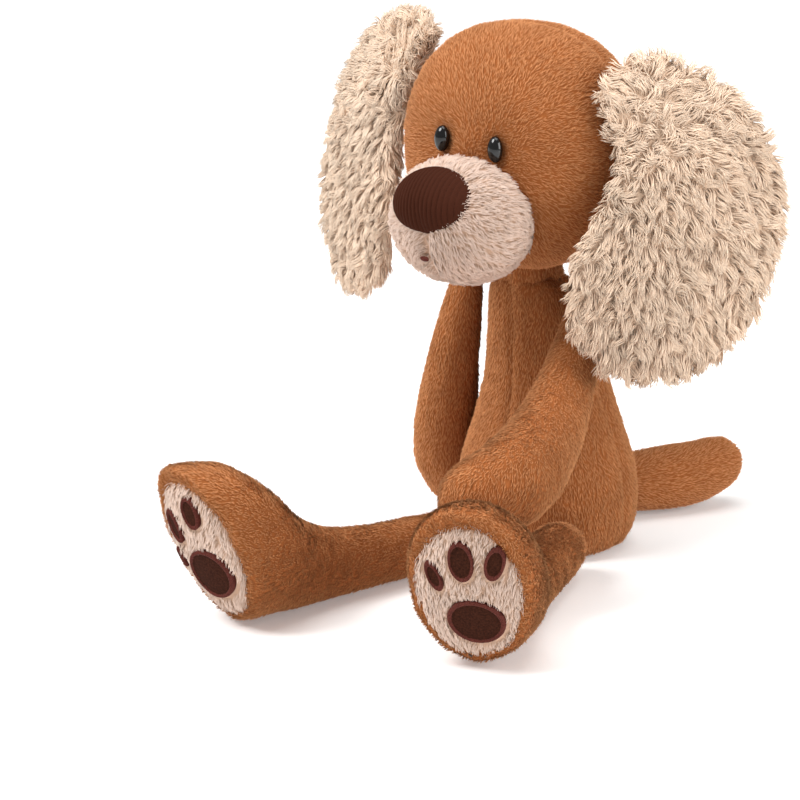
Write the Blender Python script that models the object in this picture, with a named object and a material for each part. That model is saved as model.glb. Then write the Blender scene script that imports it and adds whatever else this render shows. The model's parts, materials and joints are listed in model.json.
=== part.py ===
"""Seated plush dog with long limbs, big floppy ears and a padded muzzle.

Every sewn cover, its stuffing and its trim is an object of its own. The dog sits on the flat panel
under its body: the origin is the middle of that panel, +Z is up, the dog faces -Y and its left is +X.
Lengths are written in millimetres and turned to metres by MM.
"""
from math import atan2, cos, pi, radians, sin, sqrt

import bmesh
import bpy
from mathutils import Matrix, Vector

MM = 0.001

# driving dimensions, mm
FABRIC = 1.8          # pile fabric, backing and pile together
SEAM = 0.35           # gap left between two sewn pieces
LOFT = 2.2            # space between a cover and its stuffing

HEAD_CENTRE = (0, -23, 180.5)
HEAD_WIDTH, HEAD_HEIGHT = 107, 106
HEAD_FRONT, HEAD_REAR = 37, 47            # from the centre to the forehead and to the back
HEAD_FULLNESS = 2.25                      # 2 is an ellipsoid, more is boxier
MUZZLE_CENTRE = (0, -62.5, 153.5)
MUZZLE_SIZE = (66, 57, 56)
MUZZLE_LIFT = 4                           # degrees that the muzzle points up
NOSE_SIZE = (42, 29, 8)                   # width, height, thickness of the padded nose
NOSE_LIFT = 20                            # degrees that the nose looks up
MOUTH_DROP = 30                           # the mouth stitch is this far below the middle of the nose
EYE_SPACING, EYE_SIZE = 26, (7.6, 10.4)
EYE_RISE = 6.5                            # eyes over the middle of the head
WASHER_RADIUS, WASHER_DEPTH = 4.0, 4.2    # the locking washer of an eye, inside the face

NECK = (0, -18, 127)
NECK_WADDING = (5.6, 11, 8, -0.38)        # radius, reach down and up from the neck, lean per mm of height
TORSO = (                                 # height, half width, half depth, shift back (+) or forward
    (0.0, 31.0, 30.0, 0.0), (3.0, 36.5, 35.5, 0.0), (11.0, 40.5, 39.5, 0.0),
    (24.0, 41.5, 40.0, 0.5), (40.0, 39.0, 37.5, 1.0), (58.0, 33.0, 31.5, 0.5),
    (78.0, 27.5, 26.5, -1.0), (100.0, 25.0, 23.5, -4.0), (114.0, 22.5, 20.5, -8.5),
    (122.0, 17.5, 15.5, -13.0), (125.0, 11.5, 11.0, -16.0))
BELLY_HALF_ANGLE = 95                     # the belly panel reaches this far each side of the front

ARM_LEFT = ((33.5, -18, 114), (35.5, -28, 102), (40, -43, 86), (46.5, -63, 72.5), (52.5, -86, 63.5),
            (56.5, -105, 58.5), (51.5, -120, 55))
ARM_RIGHT = ((-35.5, -12, 115), (-38, -13.6, 98), (-44, -11.6, 76), (-50.5, -6, 55), (-57, 1, 36),
             (-60, 12, 20), (-57.5, 28, 17.5))
ARM_RADII = {"left": (8.8, 10.4, 12.8, 15.4, 18, 19, 17), "right": (8.8, 10.6, 12.8, 14.8, 16, 16.6, 15.5)}

HIP_LEFT, HIP_RIGHT = (38, -45, 14), (-9, -58, 14)
LEG_LEFT_YAW, LEG_RIGHT_YAW = 20.5, -9.5  # degrees that each leg splays
FOOT_LEFT_ROLL, FOOT_RIGHT_ROLL = 2, 6    # degrees that each foot flops outwards
LEG = (                                   # distance from the hip, height, half width, half height, lean
    (14, 14.0, 13.4, 13.4, 0), (46, 14.6, 13.8, 14.0, 0), (72, 16.6, 15.4, 16.0, 0),
    (88, 21.0, 19.0, 20.4, 4), (102, 29.8, 24.4, 29.0, 9), (115, 35.6, 26.4, 34.6, 14),
    (126, 37.2, 26.4, 35.6, 18), (132, 35.8, 24.4, 34.8, 20))
HIP_RADIUS = 13.2
SOLE_DEPTH = 1.4                          # how far the sole panel sits inside the foot's rim
PADS_LEFT = {                             # across, up, half width, half height, turn in degrees
    "pad": (2.3, -14.2, 11.3, 10.4, -8), "toe_inner": (-13.3, 4.6, 3.1, 6.4, 24),
    "toe_middle": (-2.2, 13.0, 5.0, 8.3, 6), "toe_outer": (10.6, 13.0, 3.8, 7.0, -10)}
PADS_RIGHT = {                            # this foot is stuffed so that its pads turn outwards
    "pad": (-0.4, -11.6, 12.4, 11.2, 30), "toe_inner": (1.0, 16.0, 4.4, 6.8, 8),
    "toe_middle": (-13.6, 8.6, 4.2, 7.4, 16), "toe_outer": (-18.0, -6.5, 2.4, 4.6, 20)}

TAIL = ((5, 55, 15.6), (10, 66, 15.8), (17, 79, 16), (24, 92, 17.5), (28, 99, 20))
TAIL_RADII = (13.0, 14.6, 15.2, 14.4, 13.0)

EAR_OUTLINE = (                           # angle from the outer edge over the tip, degrees; radius
    (0, 46), (30, 46), (60, 55), (90, 65), (118, 68), (146, 60), (180, 40), (212, 35),
    (230, 42), (245, 75), (258, 71), (272, 67), (302, 57), (330, 50))
EAR_THICKNESS = 11
EAR_CLEAR = 0.8                           # an ear lies at least this far off the head
EAR_ROOT = (250, 0.98)                    # the angle and share of the outline where an ear is sewn on
EAR_LEFT = {"centre": (81, -21, 154), "out": (0.60, 0.80, 0.0), "down": (0.06, -0.05, -1.0)}
EAR_RIGHT = {"centre": (-92.4, -14.2, 172), "out": (-0.78, 0.52, 0.34), "down": (-0.36, 0.06, -0.93)}

# looks: material name, linear colour, roughness
BROWN_PLUSH = ("brown_plush", (0.36, 0.145, 0.045), 0.95)
BEIGE_PLUSH = ("beige_plush", (0.66, 0.47, 0.34), 0.95)
CREAM_PLUSH = ("cream_plush", (0.75, 0.60, 0.45), 0.95)
SHERPA = ("sherpa", (0.75, 0.60, 0.45), 0.95)
CORDUROY = ("corduroy", (0.045, 0.014, 0.010), 0.85)
THREAD = ("thread", (0.045, 0.014, 0.010), 0.7)
EMBROIDERY = ("embroidery", (0.045, 0.014, 0.010), 0.7)
EYE_PLASTIC = ("eye_plastic", (0.004, 0.004, 0.004), 0.12)
WASHER_PLASTIC = ("washer_plastic", (0.75, 0.75, 0.72), 0.5)
STUFFING = ("polyester_stuffing", (0.82, 0.82, 0.80), 1.0)
PELLET_BAG = ("pellet_bag", (0.70, 0.70, 0.68), 0.6)


def material(name, colour, roughness):
    """The Principled material of a look, made once."""
    made = bpy.data.materials.get(name)
    if made:
        return made
    made = bpy.data.materials.new(name)
    made.use_nodes = True
    shader = made.node_tree.nodes["Principled BSDF"]
    shader.inputs["Base Color"].default_value = (*colour, 1)
    shader.inputs["Roughness"].default_value = roughness
    made.diffuse_color = (*colour, 1)
    return made


def solid(name, points, faces, look, pivot=(0, 0, 0)):
    """A closed mesh object from points in mm, with its origin on its joint or at the pivot given."""
    start = Vector(pivot)
    mesh = bpy.data.meshes.new(name)
    mesh.from_pydata([(Vector(p) - start) * MM for p in points], [], faces)
    shape = bmesh.new()
    shape.from_mesh(mesh)
    bmesh.ops.remove_doubles(shape, verts=shape.verts, dist=1e-6)
    bmesh.ops.recalc_face_normals(shape, faces=shape.faces)
    shape.to_mesh(mesh)
    shape.free()
    mesh.shade_smooth()
    mesh.materials.append(material(*look))
    made = bpy.data.objects.new(name, mesh)
    made.location = start * MM
    bpy.context.scene.collection.objects.link(made)
    return made


def between(first, second, count, closed=True):
    """Quads that join two rows of points, given by their first index."""
    steps = count if closed else count - 1
    return [(first + i, first + (i + 1) % count, second + (i + 1) % count, second + i) for i in range(steps)]


def skin(rings, start_cap=True, end_cap=True):
    """Points and faces of a solid that runs through closed rings, with a middle point in each cap."""
    count = len(rings[0])
    points = [p for ring in rings for p in ring]
    faces = []
    for i in range(len(rings) - 1):
        faces += between(i * count, (i + 1) * count, count)
    for wanted, ring, base in ((start_cap, rings[0], 0), (end_cap, rings[-1], (len(rings) - 1) * count)):
        if wanted:
            points.append(sum((Vector(p) for p in ring), Vector()) / count)
            faces += [(base + i, base + (i + 1) % count, len(points) - 1) for i in range(count)]
    return points, faces


def cover(outer, inner, open_start=False, open_end=False):
    """Points and faces of a hollow cover: an outer and an inner skin that join round each opening."""
    outer_points, outer_faces = skin(outer, not open_start, not open_end)
    inner_points, inner_faces = skin(inner, not open_start, not open_end)
    shift, count = len(outer_points), len(outer[0])
    faces = outer_faces + [tuple(i + shift for i in face) for face in inner_faces]
    if open_start:
        faces += between(0, shift, count)
    if open_end:
        faces += between((len(outer) - 1) * count, shift + (len(inner) - 1) * count, count)
    return outer_points + inner_points, faces


def panel(outer, inner):
    """Points and faces of one cut panel: two open grids of the same size, joined all round."""
    rows, count = len(outer), len(outer[0])
    points = [p for ring in outer + inner for p in ring]
    shift = rows * count
    faces = []
    for i in range(rows - 1):
        faces += between(i * count, (i + 1) * count, count, closed=False)
        faces += between(shift + i * count, shift + (i + 1) * count, count, closed=False)
        for side in (0, count - 1):
            a, b = i * count + side, (i + 1) * count + side
            faces.append((a, b, b + shift, a + shift))
    for row in (0, rows - 1):
        faces += between(row * count, shift + row * count, count, closed=False)
    return points, faces


def curve(points, count):
    """Points along a smooth curve through the given ones (Catmull-Rom), evenly in its parameter."""
    points = [Vector(p) for p in points]
    ends = [2 * points[0] - points[1]] + points + [2 * points[-1] - points[-2]]
    made = []
    for k in range(count):
        place = k * (len(points) - 1) / (count - 1)
        i = min(int(place), len(points) - 2)
        t = place - i
        a, b, c, d = ends[i:i + 4]
        made.append(0.5 * (2 * b + (c - a) * t + (2 * a - 5 * b + 4 * c - d) * t * t
                           + (3 * b - a - 3 * c + d) * t ** 3))
    return made


def circle(centre, side, up, count):
    """A ring of points round a centre: side and up are its half axes."""
    turns = [2 * pi * i / count for i in range(count)]
    return [centre + side * cos(t) + up * sin(t) for t in turns]


def limb_rings(spine, radii, inset, count, steps, hole=0.0):
    """Rings of a stuffed limb: a ball at its root, a tube along the spine and a round end.

    inset moves the surface inwards. hole is the radius of the opening at the root."""
    middle = curve(spine, steps)
    widths = [v.x - inset for v in curve([(r, 0, 0) for r in radii], steps)]
    along = [(middle[min(i + 1, steps - 1)] - middle[max(i - 1, 0)]).normalized() for i in range(steps)]
    side = along[0].cross(Vector((0, 0, 1) if abs(along[0].z) < 0.9 else (0, 1, 0))).normalized()
    rings = []
    ball = widths[0]
    first = atan2(hole, ball) if hole else 0.5
    for k in range(3):
        turn = first + (pi / 2 - first) * k / 3
        centre = middle[0] - along[0] * ball * cos(turn)
        reach = ball * sin(turn)
        rings.append(circle(centre, side * reach, along[0].cross(side) * reach, count))
    for centre, axis, radius in zip(middle, along, widths):
        side = (side - axis * side.dot(axis)).normalized()
        rings.append(circle(centre, side * radius, axis.cross(side) * radius, count))
    for k in range(1, 4):
        turn = pi / 2 * k / 4 + 0.08 * k
        centre = middle[-1] + along[-1] * widths[-1] * sin(turn)
        reach = widths[-1] * cos(turn)
        rings.append(circle(centre, side * reach, along[-1].cross(side) * reach, count))
    return rings


def stuffed_limb(name, spine, radii, look):
    """A limb's cover, open where it is sewn to the body, and the stuffing inside it."""
    outer = limb_rings(spine, radii, 0, 14, 8, hole=5.0)
    inner = limb_rings(spine, radii, FABRIC, 14, 8, hole=4.0)
    solid(f"{name}_cover", *cover(outer, inner, open_start=True), look, pivot=spine[0])
    filling = limb_rings(spine, radii, FABRIC + LOFT, 10, 8)
    solid(f"{name}_stuffing", *skin(filling), STUFFING, pivot=spine[0])


def torso_row(level, inset, start, end, count):
    """Points of the body's section at a level, from one angle to another, 0 being the dog's front."""
    height, half_width, half_depth, shift = level
    turns = [radians(start + (end - start) * i / (count - 1)) for i in range(count)]
    return [Vector((sin(t) * (half_width - inset), shift - cos(t) * (half_depth - inset), height))
            for t in turns]


def body_panels():
    """The body's cover, sewn from a belly panel, two back panels and the flat panel that it sits on."""
    half = BELLY_HALF_ANGLE
    slit = 0.6
    cuts = {"belly_panel": (-half + slit, half - slit, 13), "back_panel_left": (half, 180 - slit, 7),
            "back_panel_right": (180 + slit, 360 - half, 7)}
    for name, (start, end, count) in cuts.items():
        outer = [torso_row(level, 0, start, end, count) for level in TORSO[1:]]
        inner = [torso_row(level, FABRIC, start, end, count) for level in TORSO[1:]]
        solid(name, *panel(outer, inner), BROWN_PLUSH)
    base = [torso_row(TORSO[0], 0, 0, 345, 24), torso_row(TORSO[1], 0, 0, 345, 24),
            torso_row((TORSO[1][0], *TORSO[1][1:]), FABRIC + LOFT, 0, 345, 24)]
    base[1] = [Vector((p.x, p.y, p.z - SEAM)) for p in base[1]]
    base[2] = [Vector((p.x, p.y, p.z - SEAM)) for p in base[2]]
    solid("seat_panel", *skin(base), BROWN_PLUSH)


def body_filling():
    """The pellet bag that weighs the seat down and the wadding over it."""
    inset = FABRIC + LOFT + 0.6
    low = [(z, w, d, s) for z, w, d, s in TORSO[1:4]]
    bag = [torso_row((z + lift, w, d, s), inset + 1, 0, 340, 18)
           for (z, w, d, s), lift in zip(low, (1.2, 0, 0))]
    solid("pellet_bag", *skin(bag), PELLET_BAG)
    levels = [(low[-1][0] + 1.0, *low[-1][1:])] + [level for level in TORSO[4:9]]
    wadding = [torso_row(level, inset, 0, 340, 18) for level in levels]
    solid("body_stuffing", *skin(wadding), STUFFING)


def neck_wadding():
    """The wadding that runs through the neck, from the body into the head."""
    radius, low, high, lean = NECK_WADDING
    x, y, z = NECK
    ends = ((-low, 0.8), (2 - low, 1), (high - 2, 1), (high, 0.8))
    rings = [circle(Vector((x, y + lean * h, z + h)), Vector((radius * k, 0, 0)), Vector((0, radius * k, 0)), 14)
             for h, k in ends]
    solid("neck_wadding", *skin(rings), STUFFING, pivot=NECK)


def on_head(direction, offset=0.0):
    """The point of the head's surface in a direction from its centre, moved out by an offset."""
    d = Vector(direction).normalized()
    depth = HEAD_FRONT if d.y < 0 else HEAD_REAR
    radii = (HEAD_WIDTH / 2, depth, HEAD_HEIGHT / 2)
    full = HEAD_FULLNESS
    reach = sum(abs(d[i] / (radii[i] + offset)) ** full for i in range(3)) ** (-1 / full)
    return Vector(HEAD_CENTRE) + d * reach


def head_row(latitude, offset, start, end, count):
    """Points of the head's surface at one latitude, from one angle to another, 0 being the front."""
    turns = [radians(start + (end - start) * i / (count - 1)) for i in range(count)]
    rise = sin(latitude)
    flat = cos(latitude)
    return [on_head((flat * sin(t) * HEAD_WIDTH / 2,
                     -flat * cos(t) * (HEAD_FRONT if cos(t) > 0 else HEAD_REAR),
                     rise * HEAD_HEIGHT / 2), offset) for t in turns]


def head_pieces():
    """The face and the back of the head, sewn together over the crown, and the stuffing inside."""
    bottom = -radians(77)
    top = radians(88.6)
    levels = [bottom + (top - bottom) * i / 10 for i in range(11)]
    for name, start, end, count in (("face_panel", -99.3, 99.3, 15), ("head_back_panel", 100, 260, 12)):
        outer = [head_row(level, 0, start, end, count) for level in levels]
        inner = [head_row(level, -FABRIC, start, end, count) for level in levels]
        solid(name, *panel(outer, inner), BROWN_PLUSH, pivot=NECK)
    levels = [-radians(60) + radians(136) * i / 7 for i in range(8)]
    filling = [head_row(level, -FABRIC - LOFT - 0.8, 0, 337.5, 16) for level in levels]
    solid("head_stuffing", *skin(filling), STUFFING, pivot=NECK)


def outside_head(point, offset):
    """True when a point lies further out than the head's surface moved out by an offset."""
    d = point - Vector(HEAD_CENTRE)
    return d.length > (on_head(d, offset) - Vector(HEAD_CENTRE)).length


def muzzle_point(turn, angle, inset):
    """A point of the muzzle's dome: angle 0 is its tip, turn goes round it."""
    half = [v / 2 - inset for v in MUZZLE_SIZE]
    lift = Matrix.Rotation(-radians(MUZZLE_LIFT), 3, 'X')
    local = Vector((sin(angle) * cos(turn) * half[0], -cos(angle) * half[1], sin(angle) * sin(turn) * half[2]))
    return Vector(MUZZLE_CENTRE) + lift @ local


def muzzle_rings(inset, gap, count, steps):
    """Rings of the muzzle's dome from its tip to the line where it meets the head."""
    turns = [2 * pi * i / count for i in range(count)]
    ends = []
    for turn in turns:
        low, high = 0.2, pi
        for _ in range(30):
            middle = (low + high) / 2
            if outside_head(muzzle_point(turn, middle, inset), gap):
                low = middle
            else:
                high = middle
        ends.append(low)
    return [[muzzle_point(turn, end * k / steps, inset) for turn, end in zip(turns, ends)]
            for k in range(1, steps + 1)]


def muzzle():
    """The padded muzzle: its cover, open towards the face, and its stuffing."""
    outer = muzzle_rings(0, 0.6, 22, 6)
    inner = muzzle_rings(FABRIC, 0.6, 22, 6)
    solid("muzzle_cover", *cover(outer, inner, open_end=True), BEIGE_PLUSH, pivot=NECK)
    dome = muzzle_rings(FABRIC + LOFT, 2.0, 16, 5)
    rim = dome[-1]
    middle = sum(rim, Vector()) / len(rim)
    back = [[on_head(p.lerp(middle, t) - Vector(HEAD_CENTRE), 2.4) for p in rim] for t in (0.35, 0.7)]
    solid("muzzle_stuffing", *skin(dome + back), STUFFING, pivot=NECK)


def on_muzzle(across, up, lift):
    """A point over the muzzle: across and up are mm in the nose's plane, lift is the height over it."""
    tilt = Matrix.Rotation(-radians(NOSE_LIFT), 3, 'X')
    ray = tilt @ Vector((across, -MUZZLE_SIZE[1] / 2, up))
    half = Vector(MUZZLE_SIZE) / 2
    local = Matrix.Rotation(radians(MUZZLE_LIFT), 3, 'X') @ ray
    reach = 1 / sqrt(sum((local[i] / (half[i] + lift)) ** 2 for i in range(3)))
    return Vector(MUZZLE_CENTRE) + ray * reach


def lens(place, half_width, half_height, thickness, gap, count=20, steps=4, turn=0.0):
    """Points and faces of a padded oval on a surface that place(across, up, lift) describes."""
    rings = []
    backs = [(k / 3, gap) for k in (1, 2, 3)]
    fronts = [(k / steps, gap + thickness * sqrt(1 - (k / steps) ** 2 * 0.94)) for k in range(steps, 0, -1)]
    for share, lift in backs + fronts:
        ring = []
        for i in range(count):
            angle = 2 * pi * i / count
            across, up = share * half_width * cos(angle), share * half_height * sin(angle)
            ring.append(place(across * cos(turn) - up * sin(turn), across * sin(turn) + up * cos(turn), lift))
        rings.append(ring)
    return skin(rings)


def nose_and_mouth():
    """The padded corduroy nose and the short stitched mouth under it."""
    width, height, thickness = NOSE_SIZE
    solid("nose", *lens(on_muzzle, width / 2, height / 2, thickness, 1.0), CORDUROY, pivot=NECK)

    def below(across, up, lift):
        return on_muzzle(across, up - MOUTH_DROP, lift)
    solid("mouth_stitch", *lens(below, 3.2, 1.1, 1.0, 0.5, count=10, steps=2), THREAD, pivot=NECK)


def eyes():
    """Safety eyes: a domed oval button outside the face and a washer inside that locks its shank."""
    for side, word in ((1, "left"), (-1, "right")):
        def place(across, up, lift, side=side):
            aim = Vector((side * EYE_SPACING / 2 + across, -HEAD_FRONT * 0.96, EYE_RISE + up))
            return on_head(aim, lift)
        width, height = EYE_SIZE
        solid(f"eye_{word}", *lens(place, width / 2, height / 2, 3.0, 0.4, count=14, steps=3), EYE_PLASTIC,
              pivot=NECK)
        disc = lens(place, WASHER_RADIUS, WASHER_RADIUS, 1.0, -WASHER_DEPTH, count=10, steps=2)
        solid(f"eye_washer_{word}", *disc, WASHER_PLASTIC, pivot=NECK)


def ear_radius(turn):
    """The ear outline's radius at an angle in degrees, smooth through EAR_OUTLINE."""
    turn %= 360
    marks = list(EAR_OUTLINE)
    marks = [(a - 360, r) for a, r in marks[-2:]] + marks + [(a + 360, r) for a, r in marks[:2]]
    i = max(k for k in range(1, len(marks) - 2) if marks[k][0] <= turn)
    (a0, r0), (a1, r1), (a2, r2), (a3, r3) = marks[i - 1:i + 3]
    t = (turn - a1) / (a2 - a1)
    slope_in, slope_out = (r2 - r0) / (a2 - a0) * (a2 - a1), (r3 - r1) / (a3 - a1) * (a2 - a1)
    return ((2 * t ** 3 - 3 * t * t + 1) * r1 + (t ** 3 - 2 * t * t + t) * slope_in
            + (3 * t * t - 2 * t ** 3) * r2 + (t ** 3 - t * t) * slope_out)


def ear_point(pose, turn, share, height):
    """A point of an ear: share of the way from its middle to its outline, height over its middle sheet.

    Where the sheet would enter the head it lies on it instead."""
    out = Vector(pose["out"]).normalized()
    down = Vector(pose["down"])
    down = (down - out * down.dot(out)).normalized()
    face = down.cross(out) if pose["out"][0] > 0 else out.cross(down)
    reach = ear_radius(turn) * share
    across, along = reach * cos(radians(turn)), reach * sin(radians(turn))
    curl = -0.0016 * (along - 10) ** 2 - 0.0012 * across ** 2
    point = Vector(pose["centre"]) + out * across + down * along + face * (height + curl)
    lowest = EAR_CLEAR + EAR_THICKNESS / 2 + 0.2 + height
    if outside_head(point, lowest):
        return point
    return on_head(point - Vector(HEAD_CENTRE), lowest)


def ears():
    """Each ear is an outer and an inner panel of long pile, sewn together round the edge."""
    turns = [360 * i / 24 for i in range(24)]
    for word, pose in (("left", EAR_LEFT), ("right", EAR_RIGHT)):
        for layer, sign in (("outer", 1), ("inner", -1)):
            backs = [[ear_point(pose, t, k / 2, sign * 0.2) for t in turns] for k in (1, 2)]
            fronts = [[ear_point(pose, t, k, sign * (0.2 + EAR_THICKNESS / 2 * sqrt(1 - 0.9 * k * k)))
                       for t in turns] for k in (1, 0.92, 0.72, 0.4)]
            solid(f"ear_{word}_{layer}", *skin(backs + fronts), SHERPA, pivot=ear_root(pose))


def ear_root(pose):
    """The place where an ear is sewn to the head, on which it swings."""
    return ear_point(pose, *EAR_ROOT, -EAR_THICKNESS / 2)


def leg_frame(hip, yaw):
    """Directions of a leg: forward along it and across it."""
    turn = radians(yaw)
    return Vector(hip), Vector((sin(turn), -cos(turn), 0)), Vector((cos(turn), sin(turn), 0))


def leg_ring(hip, yaw, roll, section, inset, count):
    """A ring of points of a leg's or foot's section."""
    start, forward, across = leg_frame(hip, yaw)
    distance, height, half_width, half_height, lean = section
    flop = radians(roll) * min(max((distance - 80) / 50, 0), 1)
    up = Vector((0, 0, 1)) * cos(radians(lean)) + forward * sin(radians(lean))
    up, across = up * cos(flop) + across * sin(flop), across * cos(flop) - up * sin(flop)
    centre = Vector((start.x, start.y, 0)) + forward * distance + Vector((0, 0, height))
    return circle(centre, across * (half_width - inset), up * (half_height - inset), count)


def leg_rings(hip, yaw, roll, inset, count, sections):
    """Rings of a leg from the ball at the hip to the rim of the foot."""
    start, forward, across = leg_frame(hip, yaw)
    rings = []
    for k in range(4):
        turn = 0.3 + (pi / 2 - 0.3) * k / 3
        reach = (HIP_RADIUS - inset) * sin(turn)
        centre = start - forward * (HIP_RADIUS - inset) * cos(turn)
        rings.append(circle(centre, across * reach, Vector((0, 0, reach)), count))
    return rings + [leg_ring(hip, yaw, roll, section, inset, count) for section in sections]


def sole_place(hip, yaw, roll, lift):
    """A function that gives the point of a sole at mm across and up, lifted off the panel."""
    start, forward, across = leg_frame(hip, yaw)
    distance, height, _, _, lean = LEG[-1]
    flop = radians(roll)
    up = Vector((0, 0, 1)) * cos(radians(lean)) + forward * sin(radians(lean))
    up, across = up * cos(flop) + across * sin(flop), across * cos(flop) - up * sin(flop)
    out = across.cross(up)
    if out.dot(forward) < 0:
        out = -out
    centre = Vector((start.x, start.y, 0)) + forward * distance + Vector((0, 0, height))
    return lambda a, u, rise: centre + across * a + up * u + out * (rise + lift)


def plate(place, half_width, half_height, low, high, count, spot=(0, 0, 0)):
    """Points and faces of a flat oval patch between two heights over a sole, its front edge rounded."""
    across, up, turn = spot[0], spot[1], radians(spot[2])
    rings = []
    for share, lift in ((1, low), (1, (low + high) / 2), (0.9, high)):
        ring = []
        for i in range(count):
            angle = 2 * pi * i / count
            a, u = share * half_width * cos(angle), share * half_height * sin(angle)
            ring.append(place(across + a * cos(turn) - u * sin(turn), up + a * sin(turn) + u * cos(turn), lift))
        rings.append(ring)
    return skin(rings)


def legs():
    """Each leg: its cover, open under the foot, its stuffing, the sole panel and four stitched pads."""
    for word, hip, yaw, roll, pads in (
            ("left", HIP_LEFT, LEG_LEFT_YAW, FOOT_LEFT_ROLL, PADS_LEFT),
            ("right", HIP_RIGHT, LEG_RIGHT_YAW, -FOOT_RIGHT_ROLL, PADS_RIGHT)):
        outer = leg_rings(hip, yaw, roll, 0, 16, LEG)
        inner = leg_rings(hip, yaw, roll, FABRIC, 16, LEG)
        solid(f"leg_{word}_cover", *cover(outer, inner, open_end=True), BROWN_PLUSH, pivot=hip)
        filling = leg_rings(hip, yaw, roll, FABRIC + LOFT, 12, LEG[:-2])
        solid(f"leg_{word}_stuffing", *skin(filling), STUFFING, pivot=hip)
        place = sole_place(hip, yaw, roll, -SOLE_DEPTH)
        rim = FABRIC + 2 * SEAM
        _, _, half_width, half_height, _ = LEG[-1]
        solid(f"sole_{word}", *plate(place, half_width - rim, half_height - rim, -1.4, 0.8, 16), CREAM_PLUSH,
              pivot=hip)
        for part, (across, up, half_w, half_h, turn) in pads.items():
            patch = plate(place, half_w, half_h, 1.15, 2.4, 12, (across, up, turn))
            solid(f"{part}_{word}", *patch, EMBROIDERY, pivot=hip)


for old in list(bpy.data.objects):
    bpy.data.objects.remove(old)
body_panels()
body_filling()
neck_wadding()
head_pieces()
muzzle()
nose_and_mouth()
eyes()
ears()
stuffed_limb("arm_left", ARM_LEFT, ARM_RADII["left"], BROWN_PLUSH)
stuffed_limb("arm_right", ARM_RIGHT, ARM_RADII["right"], BROWN_PLUSH)
stuffed_limb("tail", TAIL, TAIL_RADII, BROWN_PLUSH)
legs()
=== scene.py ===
"""Looks of a seated plush dog: stuffed pile fabric, curled fleece ears, corduroy nose, embroidered paw pads.

Every stuffed piece starts as the outer skin of its own part in the fixed frame. It is swelled by the pressure
of its stuffing and then grows its pile in tufts, coarser than real fibres so that they show. Lengths are
metres; MM turns millimetres into them.
"""
import json
from math import cos, pi, radians, sin

import bmesh
import bpy
import numpy as np
from bpy.props import FloatProperty, FloatVectorProperty, PointerProperty
from mathutils import Euler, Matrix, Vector
from mathutils.bvhtree import BVHTree
from mathutils.kdtree import KDTree


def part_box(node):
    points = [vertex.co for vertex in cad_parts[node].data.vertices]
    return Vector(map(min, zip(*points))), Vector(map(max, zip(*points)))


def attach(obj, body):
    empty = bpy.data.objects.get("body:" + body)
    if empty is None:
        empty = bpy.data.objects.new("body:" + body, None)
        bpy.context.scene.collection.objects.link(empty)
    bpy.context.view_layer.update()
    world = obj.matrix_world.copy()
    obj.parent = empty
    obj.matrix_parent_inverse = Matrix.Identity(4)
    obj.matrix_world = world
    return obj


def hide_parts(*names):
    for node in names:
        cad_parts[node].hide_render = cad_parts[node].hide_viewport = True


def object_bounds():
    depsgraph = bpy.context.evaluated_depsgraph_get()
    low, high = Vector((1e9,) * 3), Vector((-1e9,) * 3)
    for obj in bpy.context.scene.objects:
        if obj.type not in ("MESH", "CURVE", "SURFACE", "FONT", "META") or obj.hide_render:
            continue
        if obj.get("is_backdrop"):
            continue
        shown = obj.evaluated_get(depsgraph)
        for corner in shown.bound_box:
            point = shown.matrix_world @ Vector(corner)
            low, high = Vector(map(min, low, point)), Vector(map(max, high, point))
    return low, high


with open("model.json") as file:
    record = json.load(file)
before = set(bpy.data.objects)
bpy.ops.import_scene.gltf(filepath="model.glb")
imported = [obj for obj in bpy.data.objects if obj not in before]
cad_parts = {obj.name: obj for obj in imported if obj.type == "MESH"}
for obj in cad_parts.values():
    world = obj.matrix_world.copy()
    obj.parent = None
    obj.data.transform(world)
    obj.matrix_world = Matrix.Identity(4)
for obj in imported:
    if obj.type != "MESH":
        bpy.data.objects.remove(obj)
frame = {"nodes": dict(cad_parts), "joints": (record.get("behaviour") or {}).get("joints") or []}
CAD_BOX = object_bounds()

bl_info = {
    "name": "Plush dog",
    "version": (1, 0, 0),
    "blender": (4, 5, 0),
    "location": "3D View > Sidebar > Plush dog",
    "description": "Builds the fabric, pile, stitching and trim of a seated plush dog",
    "category": "Object",
}

MM = 0.001

# stuffing
SKIN_VOXEL = 4.5 * MM       # width of a fabric cell in the pressure simulation
SKIN_EASE = 4               # rounds of smoothing over the cells
SKIN_INSET = 1.1 * MM       # the backing cloth lies this far under the tips of its pile
SWELL_FRAMES = 20
PRESSURE = 4.0
MOST_TRAVEL = 4.0 * MM      # the stuffing may push the cloth out by this much
WELD = 1.0 * MM             # two cut edges closer than this are sewn together
SAME_POINT = 1e-5           # two points closer than this are one
RAY_START = 0.02 * MM       # a ray starts this far off its own face
WALL_REACH = 0.12           # an inner face of a cover sees the opposite wall within this length
SEAM_DEPTH = 1.3 * MM
SEAM_WIDTH = 1.8 * MM

# pile
FLOOR_CLEAR = 0.3 * MM      # the pile that lies on the floor is pressed flat at this height
SOFTNESS = 0.85             # share of the skin's own direction in the way that a fibre takes the light
WAY_WAVE = 14 * MM          # lengths over which the pile's direction, lean and length wander
LEAN_WAVE = 9 * MM
LENGTH_WAVE = 6 * MM
LEAN_LIMITS = (0.1, 1.45)   # radians from upright
BEND = 0.5                  # a fibre bends by this angle from root to tip, in radians
TAPER = 0.55                # power by which a fibre thins towards its tip
VELBOA_LEAN = 52            # degrees from upright
CREAM_TUFTS = {"finish": "cream brushed pile", "width": 0.6 * MM, "spacing": 0.8 * MM, "steps": 2,
               "lock": 2.2 * MM, "curl": 0.25 * MM}
MUZZLE_PILE = 4.0 * MM
SOLE_PILE = 3.4 * MM
LOCK_FIBRES = 4.8           # fibres across one lock of the ears

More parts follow.
